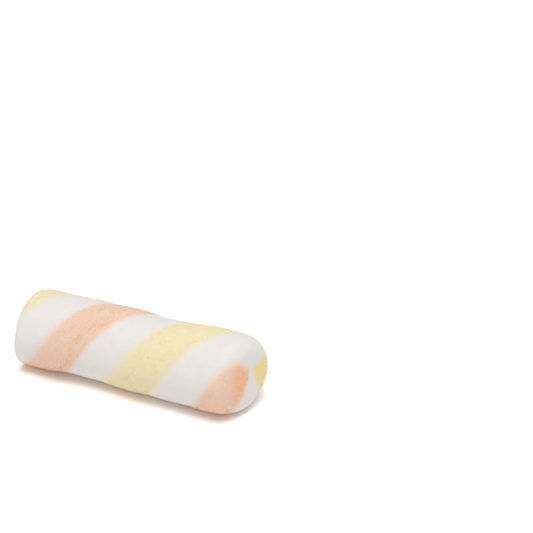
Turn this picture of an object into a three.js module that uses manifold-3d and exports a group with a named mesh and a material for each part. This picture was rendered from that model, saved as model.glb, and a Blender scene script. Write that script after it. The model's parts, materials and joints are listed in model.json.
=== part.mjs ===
// A marshmallow twist: a yellow rope, a peach rope and two white ropes of marshmallow, rolled
// together into one log and cut off at both ends. Millimetres, +Z up. The log lies along X on its
// flattened underside; the origin is on the surface, under the middle of its bounding box.

import * as THREE from 'three';
import { mergeVertices } from 'three/addons/utils/BufferGeometryUtils.js';
import Module from 'manifold-3d';

const { degToRad } = THREE.MathUtils;

// The log
const RADIUS = 12;
const AXIS_HEIGHT = 11.42; // less than the radius: the underside is pressed flat
const TWIST_PITCH = 57; // length of one full turn of the ropes
const TWIST_AT_MIDDLE = degToRad(130.8); // where the peach rope's crown stands halfway along
const TWIST_UNEVENNESS = degToRad(6.6); // the ropes wind faster over the front than over the back
const TWIST_FASTEST = degToRad(12.5); // where round the log they wind fastest
const UNTWIST = degToRad(4); // how far the ropes turn back towards the right cut face
const UNTWIST_START = 28; // distance from the middle at which that begins
const YELLOW_SPREAD = degToRad(10.9); // how far the yellow rope crowds the narrower white one
const YELLOW_SPREADS_AT = degToRad(225); // the seam between the two
const BOW = -0.32; // how far the two ends lie in front of the straight axis

// The ropes' outline, as swellings of the radius
const WIDER_WHITE_SWELL = 0.38; // one white rope stands out and the other lies deeper
const COLOURED_SWELL = 0.13; // the two coloured ropes stand out beyond the white ones
const SEAM_DIP = 0.12; // the shallow valley along each seam
const CORE_HALF_WIDTH = 1.2; // the white ropes meet between the coloured ones, in the middle
const SEAM_GAP = 0.36;

// The cut ends: how far from the log's middle the face is, its bulge, the rounding of its rim,
// how the face leans, and how far the middle of the ropes is pushed up there
const LEFT_END = {
  side: -1, length: 39.07, bulge: 1.05, rim: 2.4, rimTop: 0.93,
  leanUp: 1.18, leanFront: 0.2, cup: -1.09, coreLift: 0,
};
const RIGHT_END = {
  side: 1, length: 37.16, bulge: 0.1, rim: 5.87, rimTop: -1.19,
  leanUp: -1.25, leanFront: -2.54, cup: 0.55, coreLift: 3.3,
};
const RIM_EASE = 12; // length in which the straight side takes up the rim's slant
const RIM_TURN = degToRad(83); // the rim's arc stops short of a right angle, where the face begins
const LEAN_START = 20; // distance from the middle at which the leaning begins
const LEAN_FULL = 38; // and at which it is complete
const FACE_CENTRE_RADIUS = 2.5; // the flat middle of each cut face

// How finely the faceted solids follow the shape
const RING_SPACING = 2.1;
const RIM_RINGS = 5;
const FACE_RINGS = 3;
const ARC_STEPS = 8;

const HALF_SECTOR = Math.PI / 4; // four ropes share the round
const ROPES = [
  { name: 'peach_rope', crown: 0, reachesCore: false, color: '#ecceb8' },
  { name: 'white_rope_a', crown: 90, reachesCore: true, color: '#e8e5e1' },
  { name: 'yellow_rope', crown: 180, reachesCore: false, color: '#f1e4b9' },
  { name: 'white_rope_b', crown: 270, reachesCore: true, color: '#e8e5e1' },
];

const wasm = await Module();
wasm.setup();

// Direction round the axis, from the front (-Y) towards the top, of an angle counted from the
// peach rope's crown, at a place along the log
function direction(angle, x) {
  const spread = YELLOW_SPREAD * Math.max(0, Math.cos(angle - YELLOW_SPREADS_AT)) ** 2;
  const untwist = UNTWIST * Math.max(0, (x - UNTWIST_START) / (LEAN_FULL - UNTWIST_START)) ** 2;
  const even = angle + spread + TWIST_AT_MIDDLE + (2 * Math.PI * x) / TWIST_PITCH - untwist;
  return even + TWIST_UNEVENNESS * (1 + Math.sin(even - TWIST_FASTEST));
}

// Outer radius of the log at an angle measured from the peach rope's crown
function outline(angle) {
  return RADIUS + WIDER_WHITE_SWELL * Math.sin(angle)
    + COLOURED_SWELL * Math.cos(2 * angle) + SEAM_DIP * Math.cos(4 * angle);
}

// Half the seam, as an angle, so that the slanting walls of two ropes stay SEAM_GAP apart
function seamInset(radius) {
  const slant = (2 * Math.PI * radius) / TWIST_PITCH;
  return (SEAM_GAP / 2) * Math.hypot(1, slant) / radius;
}

// The rings of one end, from the straight side to the middle of the cut face. Each gives its
// distance from the log's middle, how that moves with the rim's rounding, and its radius.
function endRings(end) {
  const faceStart = end.length - end.bulge;
  const rings = [];
  for (let i = 0; i <= RIM_RINGS; i++) {
    const turn = (RIM_TURN * i) / RIM_RINGS;
    rings.push({
      end,
      reach: faceStart - end.rim * (1 - Math.sin(turn)),
      rimShare: 1 - Math.sin(turn),
      inward: 1 - Math.cos(turn),
      share: 1,
    });
  }
  const rimEdge = rings[RIM_RINGS];
  const faceRadius = RADIUS - rimEdge.inward * end.rim;
  for (let i = 1; i <= FACE_RINGS; i++) {
    const edgeShare = THREE.MathUtils.lerp(1, FACE_CENTRE_RADIUS / faceRadius, i / FACE_RINGS);
    rings.push({
      ...rimEdge,
      reach: THREE.MathUtils.lerp(end.length, rimEdge.reach, edgeShare ** 2),
      share: edgeShare,
    });
  }
  return rings;
}

// Every ring along the log, from the left cut face to the right one
function logRings() {
  const left = endRings(LEFT_END);
  const right = endRings(RIGHT_END);
  const start = -left[0].reach;
  const stop = right[0].reach;
  const count = Math.round((stop - start) / RING_SPACING);
  const side = [];
  for (let i = 1; i < count; i++) {
    const x = THREE.MathUtils.lerp(start, stop, i / count);
    const end = x < 0 ? LEFT_END : RIGHT_END;
    const rimShare = THREE.MathUtils.smoothstep(-Math.min(x - start, stop - x), -RIM_EASE, 0);
    side.push({ end, reach: Math.abs(x), rimShare, inward: 0, share: 1 });
  }
  return [...left.reverse(), ...side, ...right];
}

// A point of the log: a ring, an angle from the peach rope's crown and a distance from the axis
function logPoint(ring, angle, radius) {
  const { end } = ring;
  const around = direction(angle, end.side * ring.reach);
  const reach = ring.reach - ring.rimShare * end.rimTop * Math.sin(around);
  const leaning = THREE.MathUtils.clamp((reach - LEAN_START) / (LEAN_FULL - LEAN_START), 0, 1) ** 2;
  const lift = end.coreLift * leaning * Math.max(0, 1 - radius / RADIUS) ** 2;
  const front = radius * Math.cos(around);
  const up = radius * Math.sin(around) + lift;
  const lean = (end.leanUp * up + end.leanFront * front + (end.cup * up * up) / RADIUS) / RADIUS;
  const x = end.side * reach + lean * leaning;
  return new THREE.Vector3(x, BOW * (x / LEAN_FULL) ** 2 - front, AXIS_HEIGHT + up);
}

// Radius of the log's skin on a ring
function skinRadius(ring, angle) {
  const around = direction(angle, ring.end.side * ring.reach);
  const rim = ring.end.rim + ring.end.rimTop * Math.sin(around);
  return outline(angle) * (1 - (ring.inward * rim) / RADIUS) * ring.share;
}

// One rope's section on a ring, as { u, v } from the axis, with u towards the rope's crown: the
// skin, then inwards along one wall, across the core and back out along the other wall
function ropeSection(rope, ring) {
  const crown = degToRad(rope.crown);
  const skin = (angle) => skinRadius(ring, crown + angle);
  const at = (angle, radius) => ({ u: radius * Math.cos(angle), v: radius * Math.sin(angle) });

  const edge = HALF_SECTOR - seamInset(skin(HALF_SECTOR));
  const section = [];
  for (let i = 0; i <= ARC_STEPS; i++) {
    const angle = THREE.MathUtils.lerp(-edge, edge, i / ARC_STEPS);
    section.push(at(angle, skin(angle)));
  }

  const halfGap = SEAM_GAP / 2;
  const bevel = SEAM_GAP * Math.SQRT1_2;
  const wallRadius = (skin(0) + CORE_HALF_WIDTH * Math.SQRT2) / 2;
  const wall = at(HALF_SECTOR - seamInset(wallRadius), wallRadius);
  const inner = rope.reachesCore
    ? [
      { u: CORE_HALF_WIDTH - halfGap + bevel, v: CORE_HALF_WIDTH - halfGap },
      { u: halfGap, v: CORE_HALF_WIDTH - halfGap },
    ]
    : [{ u: CORE_HALF_WIDTH + halfGap, v: CORE_HALF_WIDTH + halfGap - bevel }];
  const inwards = [wall, ...inner];
  const outwards = inwards.map(({ u, v }) => ({ u, v: -v })).reverse();
  const middle = { u: inner[inner.length - 1].u, v: 0 };
  return [...section, ...inwards, middle, ...outwards];
}

// Triangles between two neighbouring rings. The shorter diagonal is used on the skin, and the
// walls on both sides of a seam are divided alike, so that they stay parallel.
function bandTriangles(count, inwardEnd, start) {
  const triangles = [];
  for (let j = 0; j < count; j++) {
    const k = (j + 1) % count;
    const [a, b, c, d] = [start + j, start + k, start + count + k, start + count + j];
    const isInward = j >= ARC_STEPS && j < inwardEnd;
    triangles.push(...(isInward ? [a, c, b, a, d, c] : [a, d, b, b, d, c]));
  }
  return triangles;
}

function ropeGeometry(rope) {
  const rings = logRings();
  const sections = rings.map((ring) => ropeSection(rope, ring));
  const count = sections[0].length;
  const inwardEnd = ARC_STEPS + (count - ARC_STEPS) / 2;
  const positions = [];
  const triangles = [];
  sections.forEach((section, i) => {
    for (const { u, v } of section) {
      const angle = degToRad(rope.crown) + Math.atan2(v, u);
      positions.push(...logPoint(rings[i], angle, Math.hypot(u, v)).toArray());
    }
    if (i > 0) triangles.push(...bandTriangles(count, inwardEnd, (i - 1) * count));
  });

  // Each cut face closes as a fan about the middle of its innermost section
  const cap = (ringIndex, isFlipped) => {
    const hub = positions.length / 3;
    const hubRadius = (CORE_HALF_WIDTH + FACE_CENTRE_RADIUS) / 2;
    positions.push(...logPoint(rings[ringIndex], degToRad(rope.crown), hubRadius).toArray());
    for (let j = 0; j < count; j++) {
      const rim = [ringIndex * count + j, ringIndex * count + ((j + 1) % count)];
      triangles.push(hub, ...(isFlipped ? rim.reverse() : rim));
    }
  };
  cap(0, false);
  cap(rings.length - 1, true);

  const geometry = new THREE.BufferGeometry();
  geometry.setAttribute('position', new THREE.Float32BufferAttribute(positions, 3));
  geometry.setIndex(triangles);
  return geometry;
}

function toManifold(geometry) {
  const bare = geometry.clone();
  bare.deleteAttribute('normal');
  bare.deleteAttribute('uv');
  const merged = mergeVertices(bare);
  return new wasm.Manifold(new wasm.Mesh({
    numProp: 3,
    vertProperties: new Float32Array(merged.attributes.position.array),
    triVerts: new Uint32Array(merged.index.array),
  }));
}

function toGeometry(solid) {
  const mesh = solid.getMesh();
  const geometry = new THREE.BufferGeometry();
  geometry.setAttribute('position', new THREE.Float32BufferAttribute(mesh.vertProperties, 3));
  geometry.setIndex([...mesh.triVerts]);
  return geometry;
}

// What lies below the surface is pressed flat
function surfaceBlock() {
  const depth = 2 * RADIUS;
  const block = new THREE.BoxGeometry(4 * LEFT_END.length, 4 * RADIUS, depth);
  block.translate(0, 0, -depth / 2);
  return toManifold(block);
}

function buildTwist() {
  const group = new THREE.Group();
  const below = surfaceBlock();
  for (const rope of ROPES) {
    const geometry = toGeometry(toManifold(ropeGeometry(rope)).subtract(below));
    geometry.computeVertexNormals();
    const material = new THREE.MeshStandardMaterial({ color: rope.color, roughness: 0.85, metalness: 0 });
    const mesh = new THREE.Mesh(geometry, material);
    mesh.name = rope.name;
    group.add(mesh);
  }
  // The leaning ends and the bow leave the log a little off centre
  const middle = new THREE.Box3().setFromObject(group).getCenter(new THREE.Vector3());
  group.children.forEach((mesh) => mesh.geometry.translate(-middle.x, -middle.y, 0));
  return group;
}

export default buildTwist();
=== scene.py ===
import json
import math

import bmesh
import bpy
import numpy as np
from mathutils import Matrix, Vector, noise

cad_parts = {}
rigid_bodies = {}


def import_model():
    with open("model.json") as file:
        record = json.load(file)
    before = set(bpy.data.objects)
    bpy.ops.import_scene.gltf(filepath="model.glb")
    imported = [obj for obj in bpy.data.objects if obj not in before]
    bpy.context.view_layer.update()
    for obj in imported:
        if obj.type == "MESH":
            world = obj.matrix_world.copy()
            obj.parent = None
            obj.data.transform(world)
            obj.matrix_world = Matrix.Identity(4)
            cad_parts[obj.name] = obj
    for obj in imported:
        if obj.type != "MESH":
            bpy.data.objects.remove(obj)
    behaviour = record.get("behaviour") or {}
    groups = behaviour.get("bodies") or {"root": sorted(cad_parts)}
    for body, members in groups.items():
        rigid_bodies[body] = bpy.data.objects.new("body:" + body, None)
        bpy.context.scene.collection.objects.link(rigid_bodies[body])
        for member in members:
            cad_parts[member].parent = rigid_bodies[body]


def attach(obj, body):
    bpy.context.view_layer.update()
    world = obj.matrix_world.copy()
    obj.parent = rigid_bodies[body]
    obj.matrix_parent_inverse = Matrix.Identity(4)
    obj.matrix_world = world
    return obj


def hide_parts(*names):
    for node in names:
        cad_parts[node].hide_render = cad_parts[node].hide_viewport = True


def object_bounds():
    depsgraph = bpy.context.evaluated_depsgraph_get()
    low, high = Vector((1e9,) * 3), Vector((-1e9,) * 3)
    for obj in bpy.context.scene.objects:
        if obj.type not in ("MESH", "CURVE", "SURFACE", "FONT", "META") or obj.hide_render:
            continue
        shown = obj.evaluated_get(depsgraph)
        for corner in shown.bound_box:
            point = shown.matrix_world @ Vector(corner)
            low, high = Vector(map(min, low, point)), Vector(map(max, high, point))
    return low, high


bl_info = {
    "name": "Marshmallow Twist",
    "version": (1, 0, 0),
    "blender": (4, 5, 0),
    "location": "View3D > Sidebar > Marshmallow",
    "description": "Makes a sugared marshmallow twist of four ropes around its solid frame",
    "category": "Add Mesh",
}

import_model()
CAD_LOW, CAD_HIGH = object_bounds()

MM = 0.001

# ---------------------------------------------------------------------------------------------
# Fixed shape of the log
# ---------------------------------------------------------------------------------------------

HALF_SECTOR = math.pi / 4           # four ropes share the round
WIDER_WHITE_SWELL = 0.38 * MM       # one white rope stands out and the other lies deeper
COLOURED_SWELL = 0.13 * MM          # the coloured ropes stand out beyond the white ones
SEAM_DIP = 0.12 * MM
CORE_HALF_WIDTH = 1.2 * MM          # the white ropes meet between the coloured ones
SEAM_GAP = 0.004 * MM
BOW = -0.32 * MM
TWIST_UNEVENNESS = math.radians(6.6)    # the ropes wind faster over the front than over the back
TWIST_FASTEST = math.radians(12.5)      # where round the log they wind fastest
UNTWIST = math.radians(4)               # how far the ropes turn back towards the right cut face
UNTWIST_START = 28 * MM                 # distance from the middle at which that begins
YELLOW_SPREAD = math.radians(10.9)      # how far the yellow rope crowds the narrower white one
YELLOW_SPREADS_AT = math.radians(225)   # the seam between the two
RIM_EASE = 12 * MM                  # length in which the straight side takes up the rim's slant
RIM_TURN = math.radians(83)         # the rim's arc ends there and the cut face begins
LEAN_START = 20 * MM
LEAN_FULL = 38 * MM
FACE_CENTRE_RADIUS = 2.5 * MM
UNDERSIDE_SOFTNESS = 0.35 * MM      # how gently the underside turns flat

# The cut ends: which side, how far from the log's middle the face is, its bulge, rim rounding and
# its growth towards the top, how far the face leans with height and towards the front, how its
# top and bottom stick out, and how far the middle of the ropes is pushed up there
LEFT_END = (-1, 39.07 * MM, 1.05 * MM, 2.4 * MM, 0.93 * MM, 1.18 * MM, 0.2 * MM, -1.09 * MM, 0)
RIGHT_END = (1, 37.16 * MM, 0.1 * MM, 5.87 * MM, -1.19 * MM, -1.25 * MM, -2.54 * MM, 0.55 * MM,
             3.3 * MM)

# What a ring of the log's mesh holds, one column each
RING_FIELDS = ("side", "length", "bulge", "rim", "rim_top", "lean_up", "lean_front", "cup",
               "core_lift", "reach", "rim_share", "inward", "share", "turn")
CAP_RINGS = 7                       # rings that close a rope's cut end
WALL_PLACES = (0.75, 0.4)           # points of a seam's wall, as shares of its height
SMALLEST_CAP = 0.02                 # the last of them, as a share of the first


class TwistSize(bpy.types.PropertyGroup):
    radius: bpy.props.FloatProperty(
        name="Radius", description="Mean radius of the four ropes together",
        default=12 * MM, unit="LENGTH")
    axis_height: bpy.props.FloatProperty(
        name="Axis Height", description="Less than the radius, as the underside is pressed flat",
        default=11.42 * MM, unit="LENGTH")
    pitch: bpy.props.FloatProperty(
        name="Twist Pitch", description="Length in which a rope winds once round the log",
        default=57 * MM, unit="LENGTH")
    start: bpy.props.FloatProperty(
        name="Twist Start", description="Where the peach rope's crown stands halfway along",
        default=math.radians(130.8), subtype="ANGLE")
    detail: bpy.props.FloatProperty(
        name="Skin Detail", description="Distance between the points of the skin",
        default=0.23 * MM, unit="LENGTH")


class TwistColours(bpy.types.PropertyGroup):
    white: bpy.props.FloatVectorProperty(
        name="White", description="Plain marshmallow", subtype="COLOR", size=3,
        default=(0.665, 0.645, 0.62))
    peach: bpy.props.FloatVectorProperty(
        name="Peach", description="Peach rope between its wrinkles", subtype="COLOR", size=3,
        default=(0.69, 0.52, 0.415))
    # Painted shade: darker, more orange colour in the peach rope's wrinkles
    peach_crease_shade: bpy.props.FloatVectorProperty(
        name="Peach Crease", description="Deeper orange in the peach rope's wrinkles",
        subtype="COLOR", size=3, default=(0.74, 0.37, 0.17))
    yellow: bpy.props.FloatVectorProperty(
        name="Yellow", description="Yellow rope between its grains", subtype="COLOR", size=3,
        default=(0.71, 0.63, 0.425))
    # Painted shade: darker, deeper yellow in the yellow rope's pores
    yellow_crease_shade: bpy.props.FloatVectorProperty(
        name="Yellow Crease", description="Deeper yellow in the yellow rope's pores",
        subtype="COLOR", size=3, default=(0.72, 0.59, 0.27))
    sugar: bpy.props.FloatVectorProperty(
        name="Sugar", description="Coarse sugar crystals", subtype="COLOR", size=3,
        default=(0.84, 0.8, 0.72))


class SugarAmounts(bpy.types.PropertyGroup):
    fine_size: bpy.props.FloatProperty(
        name="Fine Grain", description="Size of a fine sugar grain",
        default=0.15 * MM, unit="LENGTH")
    fine_count: bpy.props.IntProperty(
        name="Fine Grains", description="Fine grains on each coloured rope", default=4500)
    coarse_size: bpy.props.FloatProperty(
        name="Coarse Grain", description="Size of a coarse sugar crystal",
        default=0.5 * MM, unit="LENGTH")
    coarse_count: bpy.props.IntProperty(
        name="Coarse Grains", description="Coarse crystals on the whole log", default=45)


class StageLook(bpy.types.PropertyGroup):
    azimuth: bpy.props.FloatProperty(
        name="Camera Azimuth", description="How far the camera stands round to the right",
        default=math.radians(24.95), subtype="ANGLE")
    elevation: bpy.props.FloatProperty(
        name="Camera Elevation", description="How far the camera looks down",
        default=math.radians(25.68), subtype="ANGLE")
    distance: bpy.props.FloatProperty(
        name="Camera Distance", description="Distance from the log's middle along the view",
        default=347.1 * MM, unit="LENGTH")
    beside: bpy.props.FloatProperty(
        name="Camera Beside", description="How far the view passes the log's middle on its right",
        default=37.8 * MM, unit="LENGTH")
    above: bpy.props.FloatProperty(
        name="Camera Above", description="How far the view passes above the log's middle",
        default=24.8 * MM, unit="LENGTH")
    lens: bpy.props.FloatProperty(
        name="Lens", description="Focal length in millimetres on a 36 mm sensor",
        default=78.35)
    sky: bpy.props.FloatProperty(
        name="Sky", description="Strength of the white surroundings", default=0.64)
    key: bpy.props.FloatProperty(
        name="Key", description="Power of the large soft light overhead", default=60,
        unit="POWER")


# ---------------------------------------------------------------------------------------------
# Geometry of the log
# ---------------------------------------------------------------------------------------------

def end_rings(end, size):
    """Rings from the end of the straight side over the rim to the middle of the cut face."""
    length, bulge, rim = end[1:4]
    face_start = length - bulge
    rim_steps = math.ceil(rim * RIM_TURN / size.detail)
    face_radius = size.radius - rim * (1 - math.cos(RIM_TURN))
    face_steps = math.ceil((face_radius - FACE_CENTRE_RADIUS) / size.detail)
    rows = []
    for turn in np.linspace(0, RIM_TURN, rim_steps + 1):
        rim_share = 1 - math.sin(turn)
        rows.append([*end, face_start - rim * rim_share, rim_share, 1 - math.cos(turn), 1, turn])
    edge_reach, rim_share, inward = rows[-1][len(end) : len(end) + 3]
    for share in np.linspace(1, FACE_CENTRE_RADIUS / face_radius, face_steps + 1)[1:]:
        reach = length + (edge_reach - length) * share**2
        rows.append([*end, reach, rim_share, inward, share, math.pi / 2])
    return rows


def log_rings(size):
    """Every ring from the left cut face to the right one, as a dictionary of columns."""
    left = end_rings(LEFT_END, size)
    right = end_rings(RIGHT_END, size)
    reach = RING_FIELDS.index("reach")
    start, stop = -left[0][reach], right[0][reach]
    count = math.ceil((stop - start) / size.detail)
    side = []
    for x in np.linspace(start, stop, count + 1)[1:-1]:
        end = LEFT_END if x < 0 else RIGHT_END
        rim_share = smoothstep(-RIM_EASE, 0, -min(x - start, stop - x))
        side.append([*end, abs(x), rim_share, 0, 1, 0])
    table = np.array(left[::-1] + side + right)
    return {name: table[:, i : i + 1] for i, name in enumerate(RING_FIELDS)}


def direction(angle, x, size):
    """Direction round the axis, from the front towards the top, of an angle counted from the
    peach rope's crown, at a place along the log."""
    spread = YELLOW_SPREAD * np.maximum(0, np.cos(angle - YELLOW_SPREADS_AT)) ** 2
    untwist = UNTWIST * np.maximum(0, (x - UNTWIST_START) / (LEAN_FULL - UNTWIST_START)) ** 2
    even = angle + spread + size.start + 2 * math.pi * x / size.pitch - untwist
    return even + TWIST_UNEVENNESS * (1 + np.sin(even - TWIST_FASTEST))


def outline(angle, size):
    """Radius of the log at an angle from the peach rope's crown."""
    return (size.radius + WIDER_WHITE_SWELL * np.sin(angle)
            + COLOURED_SWELL * np.cos(2 * angle) + SEAM_DIP * np.cos(4 * angle))


def skin_radius(rings, angle, size):
    """Distance of the skin from the axis, on every ring."""
    around = direction(angle, rings["side"] * rings["reach"], size)
    rim = rings["rim"] + rings["rim_top"] * np.sin(around)
    return outline(angle, size) * (1 - rings["inward"] * rim / size.radius) * rings["share"]


def log_points(rings, angle, radius, proud, size):
    """Points of the log, from their angles, distances from the axis and height above the skin."""
    around = direction(angle, rings["side"] * rings["reach"], size)
    reach = rings["reach"] - rings["rim_share"] * rings["rim_top"] * np.sin(around)
    leaning = np.clip((reach - LEAN_START) / (LEAN_FULL - LEAN_START), 0, 1) ** 2
    lift = rings["core_lift"] * leaning * np.maximum(0, 1 - radius / size.radius) ** 2
    outward = radius + proud * np.cos(rings["turn"])
    front = outward * np.cos(around)
    up = outward * np.sin(around) + lift
    lean = rings["lean_up"] * up + rings["lean_front"] * front
    lean = (lean + rings["cup"] * up**2 / size.radius) / size.radius
    x = rings["side"] * (reach + proud * np.sin(rings["turn"])) + lean * leaning
    y = BOW * (x / LEAN_FULL) ** 2 - front
    z = size.axis_height + up
    z = (z + np.hypot(z, UNDERSIDE_SOFTNESS)) / 2
    return np.stack([x, y, z], axis=-1)


# ---------------------------------------------------------------------------------------------
# Relief of the skin
# ---------------------------------------------------------------------------------------------

def noise_at(points, scale, shift=0.0):
    """Smooth noise from -1 to 1 at points, with features of about the given size."""
    places = points / np.asarray(scale) + shift
    return np.array([noise.noise(p) for p in places.tolist()])


def smoothstep(low, high, value):
    """Runs smoothly from 0 at low to 1 at high."""
    t = np.clip((value - low) / (high - low), 0, 1)
    return t * t * (3 - 2 * t)


RELIEF_START = 1.1 * MM     # distance from a seam at which the relief reaches its full depth
WRINKLE_DEPTH = 0.11 * MM
WRINKLE_WIDTH = 0.2         # how far the noise strays from 0 across a wrinkle
PORE_DEPTH = 0.03 * MM
GRAIN_HEIGHT = 0.02 * MM
WHITE_GRAIN_HEIGHT = 0.012 * MM
VALLEY_DEPTH = 0.05 * MM
VALLEY_WIDTH = 0.9 * MM


def body_swells(points):
    """Soft irregular swells that all four ropes share."""
    return 0.16 * MM * noise_at(points, 9 * MM) + 0.035 * MM * noise_at(points, 2.4 * MM, 7)


def seam_valley(seam):
    """Shallow valley where two ropes meet; seam is the distance from there."""
    return -VALLEY_DEPTH * np.exp(-((seam / VALLEY_WIDTH) ** 2))


def white_relief(flow, across, seam):
    """Almost smooth skin."""
    grain = noise_at(flow, 0.9 * MM, 3) * smoothstep(0, RELIEF_START, seam)
    relief = WHITE_GRAIN_HEIGHT * grain
    return relief, np.zeros(len(seam))


def peach_relief(flow, across, seam):
    """Wrinkles that run along the rope and deepen towards its lower border, and fine pores."""
    inside = smoothstep(0, RELIEF_START, seam)
    wander = 0.5 * MM * noise_at(flow, (5 * MM, 2 * MM, 2 * MM), 5)[:, None]
    lines = noise_at(flow + wander, (2.6 * MM, 0.95 * MM, 0.95 * MM), 11)
    wrinkle = np.clip(1 - np.abs(lines) / WRINKLE_WIDTH, 0, 1) ** 1.1
    patches = smoothstep(-0.25, 0.45, noise_at(flow, 3.4 * MM, 19))
    border = 0.28 + 0.72 * smoothstep(0.1, -0.55, across)
    wrinkle = wrinkle * patches * border * inside
    pores = smoothstep(0.12, 0.55, noise_at(flow, 0.62 * MM, 23)) * inside
    grain = noise_at(flow, 0.42 * MM, 29) * inside
    relief = -WRINKLE_DEPTH * wrinkle - PORE_DEPTH * pores + GRAIN_HEIGHT * grain
    # Second value: painted shade, the darker crease colour, in the wrinkles and pores
    return relief, np.clip(wrinkle + 0.35 * pores, 0, 1)


def yellow_relief(flow, across, seam):
    """Low bumps and small pores under the sugar."""
    inside = smoothstep(0, RELIEF_START, seam)
    pores = smoothstep(0.15, 0.6, noise_at(flow, (0.9 * MM, 0.6 * MM, 0.6 * MM), 41)) * inside
    grain = noise_at(flow, 0.45 * MM, 43) * inside
    relief = -PORE_DEPTH * pores + GRAIN_HEIGHT * grain
    # Second value: painted shade, the darker crease colour, in the pores
    return relief, np.clip(0.6 * pores, 0, 1)


# Each rope: piece name, the frame's node, crown angle, whether it reaches the core, its relief
# and its material slot
ROPES = (
    ("rope_peach", "peach_rope", 0, False, peach_relief, "peach_marshmallow"),
    ("rope_white_wide", "white_rope_a", 90, True, white_relief, "white_marshmallow"),
    ("rope_yellow", "yellow_rope", 180, False, yellow_relief, "yellow_marshmallow"),
    ("rope_white_narrow", "white_rope_b", 270, True, white_relief, "white_marshmallow"),
)


# ---------------------------------------------------------------------------------------------
# Rope meshes
# ---------------------------------------------------------------------------------------------

def rope_section(crown, reaches_core, rings, size):
    """Angles and radii of one rope on every ring: the skin, then round the inside and back."""
    count = math.ceil(2 * HALF_SECTOR * size.radius / size.detail)
    sector = np.linspace(-HALF_SECTOR, HALF_SECTOR, count + 1)
    skin = skin_radius(rings, crown + sector, size)
    edge = skin[:, -1:]
    half_gap = SEAM_GAP / 2
    core = CORE_HALF_WIDTH
    if reaches_core:
        inner = [(core + half_gap, core - half_gap), (half_gap, core - half_gap)]
    else:
        inner = [(core + half_gap, core)]
    wall = []
    for share in WALL_PLACES:
        away = share * (edge - core * math.sqrt(2))
        radius = core * math.sqrt(2) + away
        wall.append((radius, HALF_SECTOR - half_gap / radius))
    for u, v in inner:
        wall.append((np.full_like(edge, math.hypot(u, v)), np.full_like(edge, math.atan2(v, u))))
    middle = (np.full_like(edge, inner[-1][0]), np.zeros_like(edge))
    back = [(radius, -angle) for radius, angle in reversed(wall)]
    inside = [*wall, middle, *back]
    radii = np.hstack([skin] + [radius for radius, angle in inside])
    angles = np.hstack([np.broadcast_to(sector, skin.shape)] + [angle for radius, angle in inside])
    return angles, radii, count + 1


def add_caps(rings, angles, radii):
    """Closes both cut faces with ever smaller copies of the innermost section."""
    hub = (CORE_HALF_WIDTH + FACE_CENTRE_RADIUS) / 2
    caps = {}
    for index in (0, -1):
        u = radii[index] * np.cos(angles[index])
        v = radii[index] * np.sin(angles[index])
        shrink = np.linspace(1, 0, CAP_RINGS + 1)[1:, None]
        shrink = np.maximum(shrink, SMALLEST_CAP)
        cap_u = hub + (u - hub) * shrink
        cap_v = v * shrink
        caps[index] = (np.arctan2(cap_v, cap_u), np.hypot(cap_u, cap_v))
    angles = np.vstack([caps[0][0][::-1], angles, caps[-1][0]])
    radii = np.vstack([caps[0][1][::-1], radii, caps[-1][1]])
    grown = {}
    for name, column in rings.items():
        grown[name] = np.vstack([column[:1]] * CAP_RINGS + [column] + [column[-1:]] * CAP_RINGS)
    reach = np.broadcast_to(grown["reach"], radii.shape).copy()
    for part, index in ((slice(None, CAP_RINGS), 0), (slice(-CAP_RINGS, None), -1)):
        length = rings["length"][index, 0]
        bulge_left = length - rings["reach"][index, 0]
        reach[part] = length - bulge_left * (radii[part] / FACE_CENTRE_RADIUS) ** 2
    grown["reach"] = reach
    return grown, angles, radii


def rope_surface(crown, reaches_core, relief_of, size):
    """Everything about one rope's closed surface, as arrays over rings and columns."""
    crown = math.radians(crown)
    rings = log_rings(size)
    angles, radii, skin_count = rope_section(crown, reaches_core, rings, size)
    rings, angles, radii = add_caps(rings, angles, radii)
    outside = np.zeros(radii.shape, bool)
    outside[:, :skin_count] = True
    outside[: CAP_RINGS + 1] = True
    outside[-CAP_RINGS - 1 :] = True
    reach = np.broadcast_to(rings["side"] * rings["reach"], radii.shape)
    own = crown + angles
    flow = np.stack([reach, radii * np.cos(own), radii * np.sin(own)], axis=-1)
    along_crown = radii * np.cos(angles)
    aside = radii * np.abs(np.sin(angles))
    seam = (along_crown - aside) / math.sqrt(2)
    if reaches_core:
        seam = np.maximum(seam, CORE_HALF_WIDTH - aside)
    else:
        seam = np.minimum(seam, along_crown - CORE_HALF_WIDTH)
    seam = np.clip(seam, 0, None)
    across = angles / HALF_SECTOR
    plain = log_points(rings, own, radii, 0.0, size)

    picked = outside.ravel()
    painted_crease_shade = np.zeros(radii.size)
    proud = np.zeros(radii.size)
    where = flow.reshape(-1, 3)[picked]
    relief, crease_shade = relief_of(where, across.ravel()[picked], seam.ravel()[picked])
    relief = relief + body_swells(plain.reshape(-1, 3)[picked])
    proud[picked] = relief + seam_valley(seam.ravel()[picked])
    # Painted shade of the wrinkles and pores, on the skin only
    painted_crease_shade[picked] = crease_shade
    points = log_points(rings, own, radii, proud.reshape(radii.shape), size)
    face = np.broadcast_to(rings["turn"] / (math.pi / 2), radii.shape)
    return {
        "points": points,
        "outside": outside,
        "seam": seam,
        "across": across,
        "crease_shade": painted_crease_shade.reshape(radii.shape),
        "face": face,
        "skin_count": skin_count,
    }


def centre_shift(size):
    """Brings the log over the middle of its frame."""
    rings = log_rings(size)
    around = np.linspace(0, 2 * math.pi, 181)
    points = log_points(rings, around, skin_radius(rings, around, size), 0.0, size).reshape(-1, 3)
    middle = (points.min(axis=0) + points.max(axis=0)) / 2
    frame_middle = np.array((CAD_LOW + CAD_HIGH) / 2)
    return np.array([frame_middle[0] - middle[0], frame_middle[1] - middle[1], CAD_LOW.z])


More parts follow.
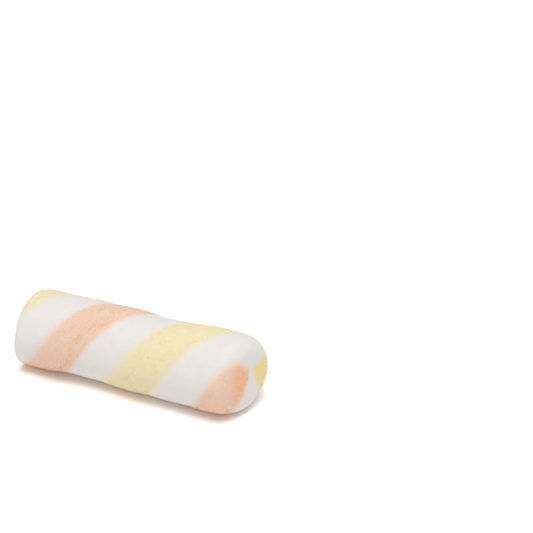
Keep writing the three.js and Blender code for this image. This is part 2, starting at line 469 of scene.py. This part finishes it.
def make_rope(name, surface, shift):
    """One closed rope as a mesh object, with what its finish needs as attributes."""
    points = surface["points"]
    ring_count, column_count = points.shape[:2]
    index = np.arange(ring_count * column_count).reshape(ring_count, column_count)
    around = np.roll(index, -1, axis=1)
    quads = np.stack([index[:-1], index[1:], around[1:], around[:-1]], axis=-1).reshape(-1, 4)
    caps = [index[0].tolist(), index[-1][::-1].tolist()]
    mesh = bpy.data.meshes.new(name)
    mesh.from_pydata((points.reshape(-1, 3) + shift).tolist(), [], quads.tolist() + caps)
    # One of these carries the painted shade of the wrinkles and pores to the finish
    for key in ("seam", "across", "crease_shade", "face"):
        layer = mesh.attributes.new(key, "FLOAT", "POINT")
        layer.data.foreach_set("value", np.ascontiguousarray(surface[key], np.float32).ravel())
    outside = np.append(surface["outside"].ravel()[quads].all(axis=1), [True, True])
    mesh.attributes.new("outside", "BOOLEAN", "FACE").data.foreach_set("value", outside)
    mesh.polygons.foreach_set("use_smooth", np.ones(len(mesh.polygons), bool))
    mesh.update()

    # The skin ends sharply where it turns into a seam's wall
    edges = np.zeros(len(mesh.loops), np.int32)
    mesh.loops.foreach_get("edge_index", edges)
    corners = np.zeros(len(mesh.polygons), np.int32)
    mesh.polygons.foreach_get("loop_total", corners)
    sides = np.bincount(edges, np.repeat(outside, corners), len(mesh.edges))
    mesh.attributes.new("sharp_edge", "BOOLEAN", "EDGE").data.foreach_set("value", sides == 1)
    rope = bpy.data.objects.new(name, mesh)
    bpy.context.scene.collection.objects.link(rope)
    return rope


# ---------------------------------------------------------------------------------------------
# Sugar
# ---------------------------------------------------------------------------------------------

CRYSTAL_CUT = 0.62              # how much of each edge the cut corners leave
BARE_SEAM = 0.5 * MM            # no sugar lies nearer to a seam
FULL_SUGAR = 2.2 * MM           # and none is missing beyond
LOWEST_SEAT = 0.7 * MM          # no grain is seated lower, as the log rests there
LOWEST_CORNER = 0.05 * MM
DEEPEST_SEAT, HIGHEST_SEAT = -0.4, 0.05     # a grain's middle over the skin, in grain sizes


def cube_template():
    """Corners and faces of a cube one across."""
    corners = np.array([[x, y, z] for x in (-1, 1) for y in (-1, 1) for z in (-1, 1)]) / 2
    faces = [[0, 1, 3, 2], [4, 6, 7, 5], [0, 4, 5, 1], [2, 3, 7, 6], [0, 2, 6, 4], [1, 5, 7, 3]]
    return corners, np.array(faces)


def chamfered_template():
    """A sugar crystal: a block whose edges and corners are taken off."""
    corners = cube_template()[0]
    points = []
    for corner in corners:
        for axis in range(3):
            keep = np.full(3, CRYSTAL_CUT)
            keep[axis] = 1
            points.append(corner * keep)
    points = np.array(points)
    block = bpy.data.meshes.new("crystal")
    block.from_pydata(points.tolist(), [], [])
    shell = bmesh.new()
    shell.from_mesh(block)
    bmesh.ops.convex_hull(shell, input=shell.verts)
    bmesh.ops.recalc_face_normals(shell, faces=shell.faces)
    shell.verts.index_update()
    hull = [[v.index for v in face.verts] for face in shell.faces]
    places = np.array([v.co[:] for v in shell.verts])
    shell.free()
    bpy.data.meshes.remove(block)
    return places, np.array(hull)


def random_turns(count, random):
    """Evenly spread rotation matrices."""
    q = random.normal(size=(count, 4))
    w, x, y, z = (q / np.linalg.norm(q, axis=1, keepdims=True)).T
    rows = [
        [1 - 2 * (y * y + z * z), 2 * (x * y - z * w), 2 * (x * z + y * w)],
        [2 * (x * y + z * w), 1 - 2 * (x * x + z * z), 2 * (y * z - x * w)],
        [2 * (x * z - y * w), 2 * (y * z + x * w), 1 - 2 * (x * x + y * y)],
    ]
    return np.array(rows).transpose(2, 0, 1)


def skin_faces(rope):
    """Centres, normals, areas and seam distances of a rope's outside faces."""
    mesh = rope.data
    count = len(mesh.polygons)
    outside = np.zeros(count, bool)
    mesh.attributes["outside"].data.foreach_get("value", outside)
    centres = np.zeros(count * 3)
    normals = np.zeros(count * 3)
    areas = np.zeros(count)
    starts = np.zeros(count, np.int32)
    corners = np.zeros(len(mesh.loops), np.int32)
    seams = np.zeros(len(mesh.vertices))
    mesh.polygons.foreach_get("center", centres)
    mesh.polygons.foreach_get("normal", normals)
    mesh.polygons.foreach_get("area", areas)
    mesh.polygons.foreach_get("loop_start", starts)
    mesh.loops.foreach_get("vertex_index", corners)
    mesh.attributes["seam"].data.foreach_get("value", seams)
    seam = seams[corners[starts]]
    centres, normals = centres.reshape(-1, 3), normals.reshape(-1, 3)
    return centres[outside], normals[outside], areas[outside], seam[outside]


def make_grains(name, ropes, count, size, spread, template, seed):
    """Grains strewn over the skins of some ropes, joined into one mesh."""
    random = np.random.default_rng(seed)
    parts = []
    for rope, weight in ropes:
        centres, normals, areas, seam = skin_faces(rope)
        patches = 0.35 + smoothstep(-0.4, 0.5, noise_at(centres, 4 * MM, seed))
        density = areas * weight * patches * smoothstep(BARE_SEAM, FULL_SUGAR, seam)
        density = density * (centres[:, 2] > LOWEST_SEAT)
        parts.append((centres, normals, density))
    centres = np.vstack([part[0] for part in parts])
    normals = np.vstack([part[1] for part in parts])
    density = np.concatenate([part[2] for part in parts])
    picked = random.choice(len(centres), count, replace=False, p=density / density.sum())
    sizes = size * np.exp(random.normal(0, spread, count)).clip(0.5, 1.7)
    corners, faces = template
    stretch = random.uniform(0.75, 1.2, (count, 1, 3))
    jitter = random.uniform(-0.07, 0.07, (count, len(corners), 3))
    shapes = (corners[None] * stretch + jitter) * sizes[:, None, None]
    shapes = np.einsum("nij,nkj->nki", random_turns(count, random), shapes)
    heights = sizes * random.uniform(DEEPEST_SEAT, HIGHEST_SEAT, count)
    seat = centres[picked] + normals[picked] * heights[:, None]
    points = (shapes + seat[:, None]).reshape(-1, 3)
    points[:, 2] = np.maximum(points[:, 2], LOWEST_CORNER)
    offsets = np.arange(count)[:, None, None] * len(corners)
    mesh = bpy.data.meshes.new(name)
    every_face = (faces[None] + offsets).reshape(-1, faces.shape[1])
    mesh.from_pydata(points.tolist(), [], every_face.tolist())
    tone = mesh.attributes.new("tone", "FLOAT", "POINT")
    tone.data.foreach_set("value", np.repeat(random.random(count), len(corners)).astype(np.float32))
    mesh.update()
    grains = bpy.data.objects.new(name, mesh)
    bpy.context.scene.collection.objects.link(grains)
    return grains


# ---------------------------------------------------------------------------------------------
# Finishes
# ---------------------------------------------------------------------------------------------

class Wire:
    """A socket in a material, used in arithmetic like a number."""

    def __init__(self, graph, socket):
        self.graph = graph
        self.socket = socket

    def math(self, operation, *values):
        return self.graph.node("Math", {"operation": operation}, dict(enumerate(values)))

    def __add__(self, other):
        return self.math("ADD", self, other)

    def __sub__(self, other):
        return self.math("SUBTRACT", self, other)

    def __rsub__(self, other):
        return self.math("SUBTRACT", other, self)

    def __mul__(self, other):
        return self.math("MULTIPLY", self, other)

    def __truediv__(self, other):
        return self.math("DIVIDE", self, other)

    def __gt__(self, other):
        return self.math("GREATER_THAN", self, other)

    __radd__ = __add__
    __rmul__ = __mul__


class Graph:
    """A material's nodes, made one at a time."""

    def __init__(self, name):
        self.material = bpy.data.materials.new(name)
        self.material.use_nodes = True
        self.tree = self.material.node_tree
        self.shader = self.tree.nodes["Principled BSDF"]

    def node(self, kind, settings=None, values=None, output=0):
        """Adds a node, sets it up, feeds its sockets and gives back one of its outputs."""
        made = self.tree.nodes.new("ShaderNode" + kind)
        for key, setting in (settings or {}).items():
            setattr(made, key, setting)
        for key, value in (values or {}).items():
            self.feed(made.inputs[key], value)
        return Wire(self, made.outputs[output])

    def feed(self, socket, value):
        if isinstance(value, Wire):
            self.tree.links.new(value.socket, socket)
        elif socket.type == "RGBA" and len(value) == 3:
            socket.default_value = (*value, 1)
        else:
            socket.default_value = value

    def attribute(self, name):
        return self.node("Attribute", {"attribute_name": name}, output="Fac")

    def noise(self, size, detail=2.0, shift=0.0):
        """Smooth noise from 0 to 1 with features of about the given size."""
        places = self.node("TexCoord", output="Object")
        if shift:
            settings = {"operation": "ADD"}
            places = self.node("VectorMath", settings, {0: places, 1: (shift,) * 3})
        values = {"Vector": places, "Scale": 1 / size, "Detail": detail}
        return self.node("TexNoise", None, values, "Fac")

    def smooth(self, value, low, high):
        values = {"Value": value, "From Min": low, "From Max": high}
        return self.node("MapRange", {"interpolation_type": "SMOOTHSTEP"}, values, "Result")

    def mix(self, factor, a, b):
        """Colour a where the factor is 0 and b where it is 1."""
        return self.node("Mix", {"data_type": "RGBA"}, {0: factor, 6: a, 7: b}, 2)

    def bump(self, height, distance):
        values = {"Height": height, "Distance": distance, "Strength": 1.0}
        return self.node("Bump", None, values, "Normal")

    def finish(self, **values):
        """Feeds the surface shader; an underscore in a name stands for a space."""
        for key, value in values.items():
            self.feed(self.shader.inputs[key.replace("_", " ")], value)
        return self.material


LEFT_BLUR = 3.2 * MM       # how softly a coloured rope's upper border runs into the white
RIGHT_BLUR = 2.2 * MM      # and its lower one
BORDER_WANDER = 1.3 * MM   # how far the border strays from the seam
FACE_BLUR_LOSS = 0.6       # share of that softness which the cut faces lack
WHITE_MOTTLE = (0.645, 0.622, 0.6)
# Painted shade: darker, warmer colour on the white ropes' cut faces
WHITE_FACE_SHADE = (0.63, 0.595, 0.55)


def share_of_colour(graph, side, sign):
    """How much of the coloured rope's colour shows near a seam: side is 1 inside it, -1 outside."""
    upper = graph.attribute("across") * sign > 0
    blur = RIGHT_BLUR + (LEFT_BLUR - RIGHT_BLUR) * upper
    blur = blur * (1 - graph.smooth(graph.attribute("face"), 0.4, 1) * FACE_BLUR_LOSS)
    wander = (graph.noise(1.6 * MM, 3) - 0.5) * BORDER_WANDER
    depth = (graph.attribute("seam") * side + wander) / blur
    return graph.smooth(depth, -1, 1)


def soft_body(graph, colour, roughness, normal):
    """Matte foam with a weak sheen."""
    return graph.finish(
        Base_Color=colour, Roughness=roughness, Normal=normal, IOR=1.42, Specular_IOR_Level=0.22)


def white_finish(name, lower, upper, colours):
    """White rope, stained by its two coloured neighbours along the seams."""
    graph = Graph(name)
    neighbour = graph.mix(graph.attribute("across") > 0, lower, upper)
    stain = share_of_colour(graph, -1, -1)
    mottle = graph.noise(3.5 * MM, 3, 5)
    face = graph.attribute("face")
    plain = graph.mix(graph.smooth(mottle, 0.3, 0.75), colours.white, WHITE_MOTTLE)
    # Painted shade on the cut faces
    plain = graph.mix(graph.smooth(face, 0.6, 1) * 0.5, plain, WHITE_FACE_SHADE)
    colour = graph.mix(stain, plain, neighbour)
    height = graph.noise(0.5 * MM, 3, 9)
    return soft_body(graph, colour, 0.62, graph.bump(height, 0.02 * MM))


def coloured_finish(name, colour, crease_shade_colour, face_shade, colours):
    """Coloured rope with painted shade in wrinkles, pores and cut faces, paler near the white."""
    graph = Graph(name)
    share = share_of_colour(graph, 1, 1)
    crease_shade = graph.attribute("crease_shade")
    face = graph.attribute("face")
    specks = graph.smooth(graph.noise(0.5 * MM, 3, 3), 0.35, 0.8)
    mottle = graph.smooth(graph.noise(2.8 * MM, 3, 11), 0.3, 0.75)
    # Painted shade in the wrinkles, pores and on the cut faces, with random specks and mottle
    mottle_and_shade = crease_shade * 0.85 + specks * 0.16 + mottle * 0.12 + graph.smooth(face, 0.6, 1) * face_shade
    inside = graph.mix(graph.node("Clamp", None, {0: mottle_and_shade}), colour, crease_shade_colour)
    shade = graph.mix(share, colours.white, inside)
    height = graph.noise(0.3 * MM, 4, 17)
    return soft_body(graph, shade, 0.7, graph.bump(height, 0.07 * MM))


def grain_finish(name, colour, bright, roughness):
    """Sugar grains, each of its own tone between two colours."""
    graph = Graph(name)
    tone = graph.attribute("tone")
    shade = graph.mix(graph.smooth(tone, 0.55, 1), colour, bright)
    return graph.finish(Base_Color=shade, Roughness=roughness, IOR=1.5)


def floor_finish():
    """White floor with a faint warm glow, which tints the shadow."""
    graph = Graph("pale floor")
    return graph.finish(
        Base_Color=(0.97, 0.97, 0.97), Roughness=0.8, Specular_IOR_Level=0.2,
        Emission_Color=(0.08, 0.045, 0.025), Emission_Strength=1.0)


# ---------------------------------------------------------------------------------------------
# Operators
# ---------------------------------------------------------------------------------------------

def add_rope(scene, row, material):
    """Makes one rope of the table, fixes it to the root body and hides the node it stands for."""
    name, node, crown, reaches_core, relief_of, slot = row
    surface = rope_surface(crown, reaches_core, relief_of, scene.twist_size)
    rope = make_rope(name, surface, centre_shift(scene.twist_size))
    rope.data.materials.append(material)
    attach(rope, "root")
    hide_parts(node)
    return rope


class MARSHMALLOW_OT_white_ropes(bpy.types.Operator):
    """Make the two plain white ropes, which meet in the middle of the log"""
    bl_idname = "marshmallow.white_ropes"
    bl_label = "White Ropes"

    def execute(self, context):
        colours = context.scene.twist_colours
        borders = (colours.peach, colours.yellow)
        wide = white_finish("white marshmallow, wide rope", *borders, colours)
        narrow = white_finish("white marshmallow, narrow rope", *borders[::-1], colours)
        add_rope(context.scene, ROPES[1], wide)
        add_rope(context.scene, ROPES[3], narrow)
        return {"FINISHED"}


class MARSHMALLOW_OT_coloured_ropes(bpy.types.Operator):
    """Make the peach rope with its wrinkles and the yellow rope with its pores"""
    bl_idname = "marshmallow.coloured_ropes"
    bl_label = "Coloured Ropes"

    def execute(self, context):
        colours = context.scene.twist_colours
        # Painted shade on the cut faces: half strength on the peach rope, full on the yellow
        peach = coloured_finish(
            "peach marshmallow", colours.peach, colours.peach_crease_shade, 0.5, colours)
        yellow = coloured_finish(
            "yellow marshmallow", colours.yellow, colours.yellow_crease_shade, 1.0, colours)
        add_rope(context.scene, ROPES[0], peach)
        add_rope(context.scene, ROPES[2], yellow)
        return {"FINISHED"}


class MARSHMALLOW_OT_fine_sugar(bpy.types.Operator):
    """Strew fine sugar over the two coloured ropes"""
    bl_idname = "marshmallow.fine_sugar"
    bl_label = "Fine Sugar"

    def execute(self, context):
        colours = context.scene.twist_colours
        sugar = context.scene.sugar_amounts
        kinds = (("peach", colours.peach, 4), ("yellow", colours.yellow, 9))
        for colour_name, colour, seed in kinds:
            rope = bpy.data.objects["rope_" + colour_name]
            grains = make_grains("fine_sugar_on_" + colour_name, [(rope, 1)], sugar.fine_count,
                                 sugar.fine_size, 0.25, cube_template(), seed)
            light = tuple(0.5 * a + 0.5 * b for a, b in zip(colour, colours.sugar))
            material = grain_finish("fine sugar on " + colour_name, tuple(colour), light, 0.5)
            grains.data.materials.append(material)
            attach(grains, "root")
        return {"FINISHED"}


class MARSHMALLOW_OT_coarse_sugar(bpy.types.Operator):
    """Strew coarse sugar crystals, most of them on the coloured ropes"""
    bl_idname = "marshmallow.coarse_sugar"
    bl_label = "Coarse Sugar"

    def execute(self, context):
        colours = context.scene.twist_colours
        sugar = context.scene.sugar_amounts
        weights = {"rope_peach": 0.4, "rope_yellow": 1.3, "rope_white_wide": 0.04,
                   "rope_white_narrow": 0.04}
        ropes = [(bpy.data.objects[name], weight) for name, weight in weights.items()]
        grains = make_grains("coarse_sugar", ropes, sugar.coarse_count, sugar.coarse_size, 0.22,
                             chamfered_template(), 15)
        dull = tuple(0.9 * part for part in colours.sugar)
        grains.data.materials.append(grain_finish("coarse sugar", dull, tuple(colours.sugar), 0.25))
        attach(grains, "root")
        return {"FINISHED"}


FLOOR_HALF_WIDTH = 3.0
KEY_PLACE = (0.48, -0.68, 2.84)      # far off, so that it lights the floor evenly
KEY_WIDTH = 1.6


class MARSHMALLOW_OT_stage(bpy.types.Operator):
    """Lay the pale floor and set the camera, the white surroundings and the soft light"""
    bl_idname = "marshmallow.stage"
    bl_label = "Stage"

    def execute(self, context):
        scene = context.scene
        look = scene.stage_look
        middle = Vector(centre_shift(scene.twist_size)) + Vector((0, 0, scene.twist_size.radius))

        half = FLOOR_HALF_WIDTH
        floor_mesh = bpy.data.meshes.new("floor")
        corners = [(-half, -half, 0), (half, -half, 0), (half, half, 0), (-half, half, 0)]
        floor_mesh.from_pydata(corners, [], [(0, 1, 2, 3)])
        floor = bpy.data.objects.new("floor", floor_mesh)
        floor.data.materials.append(floor_finish())
        scene.collection.objects.link(floor)

        back = Vector((math.sin(look.azimuth) * math.cos(look.elevation),
                       -math.cos(look.azimuth) * math.cos(look.elevation),
                       math.sin(look.elevation)))
        right = Vector((math.cos(look.azimuth), math.sin(look.azimuth), 0))
        up = back.cross(right)
        camera = bpy.data.objects.new("camera", bpy.data.cameras.new("camera"))
        camera.data.sensor_width = 36
        camera.data.lens = look.lens
        camera.data.clip_start = 0.01
        camera.location = middle + back * look.distance + right * look.beside + up * look.above
        camera.rotation_euler = Matrix((right, up, back)).transposed().to_euler()
        scene.collection.objects.link(camera)
        scene.camera = camera

        world = bpy.data.worlds.new("white surroundings")
        world.use_nodes = True
        sky = world.node_tree.nodes["Background"]
        sky.inputs["Color"].default_value = (1, 1, 1, 1)
        sky.inputs["Strength"].default_value = look.sky
        scene.world = world

        lamp = bpy.data.lights.new("soft key", "AREA")
        lamp.shape = "DISK"
        lamp.size = KEY_WIDTH
        lamp.energy = look.key
        key = bpy.data.objects.new("soft key", lamp)
        key.location = KEY_PLACE
        key.rotation_euler = (key.location - middle).to_track_quat("Z", "Y").to_euler()
        scene.collection.objects.link(key)

        scene.view_settings.view_transform = "Standard"
        return {"FINISHED"}


class MARSHMALLOW_PT_twist(bpy.types.Panel):
    """Lists what makes the twist, in the order it is made"""
    bl_label = "Marshmallow Twist"
    bl_idname = "MARSHMALLOW_PT_twist"
    bl_space_type = "VIEW_3D"
    bl_region_type = "UI"
    bl_category = "Marshmallow"

    def draw(self, context):
        for operator in OPERATORS:
            self.layout.operator(operator.bl_idname)


OPERATORS = (MARSHMALLOW_OT_white_ropes, MARSHMALLOW_OT_coloured_ropes,
             MARSHMALLOW_OT_fine_sugar, MARSHMALLOW_OT_coarse_sugar, MARSHMALLOW_OT_stage)
GROUPS = {"twist_size": TwistSize, "twist_colours": TwistColours,
          "sugar_amounts": SugarAmounts, "stage_look": StageLook}


def register():
    for cls in (*GROUPS.values(), *OPERATORS, MARSHMALLOW_PT_twist):
        bpy.utils.register_class(cls)
    for name, group in GROUPS.items():
        setattr(bpy.types.Scene, name, bpy.props.PointerProperty(type=group))


def unregister():
    for name in GROUPS:
        delattr(bpy.types.Scene, name)
    for cls in reversed((*GROUPS.values(), *OPERATORS, MARSHMALLOW_PT_twist)):
        bpy.utils.unregister_class(cls)


def main():
    register()
    bpy.ops.marshmallow.white_ropes()
    bpy.ops.marshmallow.coloured_ropes()
    bpy.ops.marshmallow.fine_sugar()
    bpy.ops.marshmallow.coarse_sugar()
    bpy.ops.marshmallow.stage()


if __name__ == "__main__":
    main()
